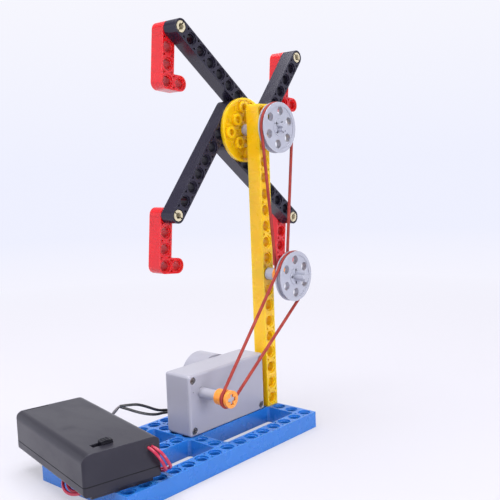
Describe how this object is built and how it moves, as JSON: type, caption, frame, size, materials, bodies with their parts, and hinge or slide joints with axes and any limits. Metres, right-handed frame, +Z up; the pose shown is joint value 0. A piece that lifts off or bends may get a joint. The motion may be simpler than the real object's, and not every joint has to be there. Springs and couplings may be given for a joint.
{
  "type": "pulley demonstrator wheel",
  "caption": "Motor-driven pulley demonstrator: a wheel with hanging seats on a tower, belt-driven in two stages from a geared motor on a pegged base, with a loose battery box.",
  "frame": {"origin": "centre of the base frame's underside, straight below the middle of the four-hole pattern named base_holes, whose bores begin 0.8 mm up, behind their rims", "axes": "+Z up, +X along the base's long side towards the tower, +Y from the belts towards the wheel; the axles run along Y"},
  "size_m": [0.1848, 0.0796, 0.1982],
  "materials": {
    "blue_plastic": "moulded ABS, satin gloss",
    "yellow_plastic": "moulded ABS, satin gloss",
    "bracket_plastic": "moulded ABS, satin gloss",
    "black_plastic": "moulded ABS, satin gloss",
    "axle_plastic": "moulded acetal, satin",
    "pulley_plastic": "moulded ABS, satin",
    "ring_plastic": "moulded ABS, satin",
    "pin_plastic": "moulded acetal, satin",
    "red_plastic": "moulded ABS, satin gloss",
    "orange_plastic": "moulded ABS, satin",
    "belt_rubber": "dull elastic cord",
    "gearbox_plastic": "fine moulded texture",
    "screw_steel": "machined, plated",
    "can_steel": "drawn, plated",
    "gear_plastic": "moulded acetal",
    "shaft_plastic": "moulded acetal",
    "box_plastic": "fine moulded texture",
    "cell_jacket": "plain jacket, no print",
    "contact_metal": "nickel-plated spring steel",
    "switch_plastic": "moulded, matte",
    "grommet_rubber": "moulded, matte",
    "red_lead": "soft PVC sleeve",
    "black_lead": "soft PVC sleeve",
    "bare_copper": "twisted bare copper strands"
  },
  "bodies": {
    "base": {"base_frame": "blue_plastic", "battery_case": "box_plastic", "battery_gland": "grommet_rubber", "battery_lead_1": "red_lead", "battery_lead_2": "red_lead", "battery_lid": "box_plastic", "bracket_pegs": "black_plastic", "cell_1": "cell_jacket", "cell_2": "cell_jacket", "contact_plates": "contact_metal", "contact_springs": "contact_metal", "cover_screws": "screw_steel", "gear_pins": "screw_steel", "gearbox_cover": "gearbox_plastic", "gearbox_housing": "gearbox_plastic", "lead_splices": "bare_copper", "lid_screw": "screw_steel", "lower_belt": "belt_rubber", "motor_can": "can_steel", "motor_cap": "gearbox_plastic", "motor_gland": "grommet_rubber", "motor_lead_1": "black_lead", "motor_lead_2": "black_lead", "switch_body": "switch_plastic", "tower_beam": "yellow_plastic", "tower_bracket": "bracket_plastic", "upper_belt": "belt_rubber"},
    "wheel": {"upper_axle": "axle_plastic", "upper_pulley": "pulley_plastic", "upper_ring": "ring_plastic", "wheel_spacer": "ring_plastic", "hub_disc": "yellow_plastic", "wheel_retainer": "ring_plastic", "arm_1": "black_plastic", "arm_2": "black_plastic", "arm_3": "black_plastic", "arm_4": "black_plastic", "seat_pin_1": "pin_plastic", "seat_pin_2": "pin_plastic", "seat_pin_3": "pin_plastic", "seat_pin_4": "pin_plastic"},
    "seat_a": {"seat_1": "red_plastic"},
    "seat_b": {"seat_2": "red_plastic"},
    "seat_c": {"seat_3": "red_plastic"},
    "seat_d": {"seat_4": "red_plastic"},
    "lower_shaft": {"lower_axle": "axle_plastic", "lower_pulley": "pulley_plastic", "transfer_pulley": "orange_plastic", "lower_ring": "ring_plastic"},
    "output": {"output_shaft": "shaft_plastic", "output_gear": "gear_plastic", "motor_pulley": "orange_plastic"},
    "gear_b": {"second_gear": "gear_plastic"},
    "gear_a": {"first_gear": "gear_plastic"},
    "rotor": {"motor_shaft": "screw_steel", "motor_pinion": "gear_plastic"},
    "switch": {"switch_slider": "switch_plastic"}
  },
  "joints": [
    {"name": "wheel_spin", "type": "hinge", "parent": "base", "child": "wheel", "pos_m": [0.056, 0, 0.1478], "axis": [0, 1, 0], "continuous": true},
    {"name": "lower_axle_spin", "type": "hinge", "parent": "base", "child": "lower_shaft", "pos_m": [0.056, 0, 0.0758], "axis": [0, 1, 0], "continuous": true},
    {"name": "output_spin", "type": "hinge", "parent": "base", "child": "output", "pos_m": [0.0056, 0, 0.0274], "axis": [0, 1, 0], "continuous": true},
    {"name": "second_gear_spin", "type": "hinge", "parent": "base", "child": "gear_b", "pos_m": [0.01257, 0, 0.02254], "axis": [0, 1, 0], "continuous": true},
    {"name": "first_gear_spin", "type": "hinge", "parent": "base", "child": "gear_a", "pos_m": [0.02153, 0, 0.02171], "axis": [0, 1, 0], "continuous": true},
    {"name": "motor_spin", "type": "hinge", "parent": "base", "child": "rotor", "pos_m": [0.0314, 0, 0.0253], "axis": [0, 1, 0], "continuous": true},
    {"name": "seat_a_swing", "type": "hinge", "parent": "wheel", "child": "seat_a", "pos_m": [0.01643, 0.0222, 0.19447], "axis": [0, 1, 0], "continuous": true},
    {"name": "seat_b_swing", "type": "hinge", "parent": "wheel", "child": "seat_b", "pos_m": [0.00933, 0.0222, 0.10823], "axis": [0, 1, 0], "continuous": true},
    {"name": "seat_c_swing", "type": "hinge", "parent": "wheel", "child": "seat_c", "pos_m": [0.09557, 0.0222, 0.10113], "axis": [0, 1, 0], "continuous": true},
    {"name": "seat_d_swing", "type": "hinge", "parent": "wheel", "child": "seat_d", "pos_m": [0.10267, 0.0222, 0.18737], "axis": [0, 1, 0], "continuous": true},
    {"name": "switch_slide", "type": "slide", "parent": "base", "child": "switch", "axis": [0.9796, -0.2011, 0], "range_m": [-0.0034, 0]}
  ],
  "couplings": [
    {"joint": "lower_axle_spin", "follows": "wheel_spin", "ratio": 3},
    {"joint": "output_spin", "follows": "wheel_spin", "ratio": 9},
    {"joint": "second_gear_spin", "follows": "wheel_spin", "ratio": -16.5},
    {"joint": "first_gear_spin", "follows": "wheel_spin", "ratio": 33},
    {"joint": "motor_spin", "follows": "wheel_spin", "ratio": -82.5}
  ]
}
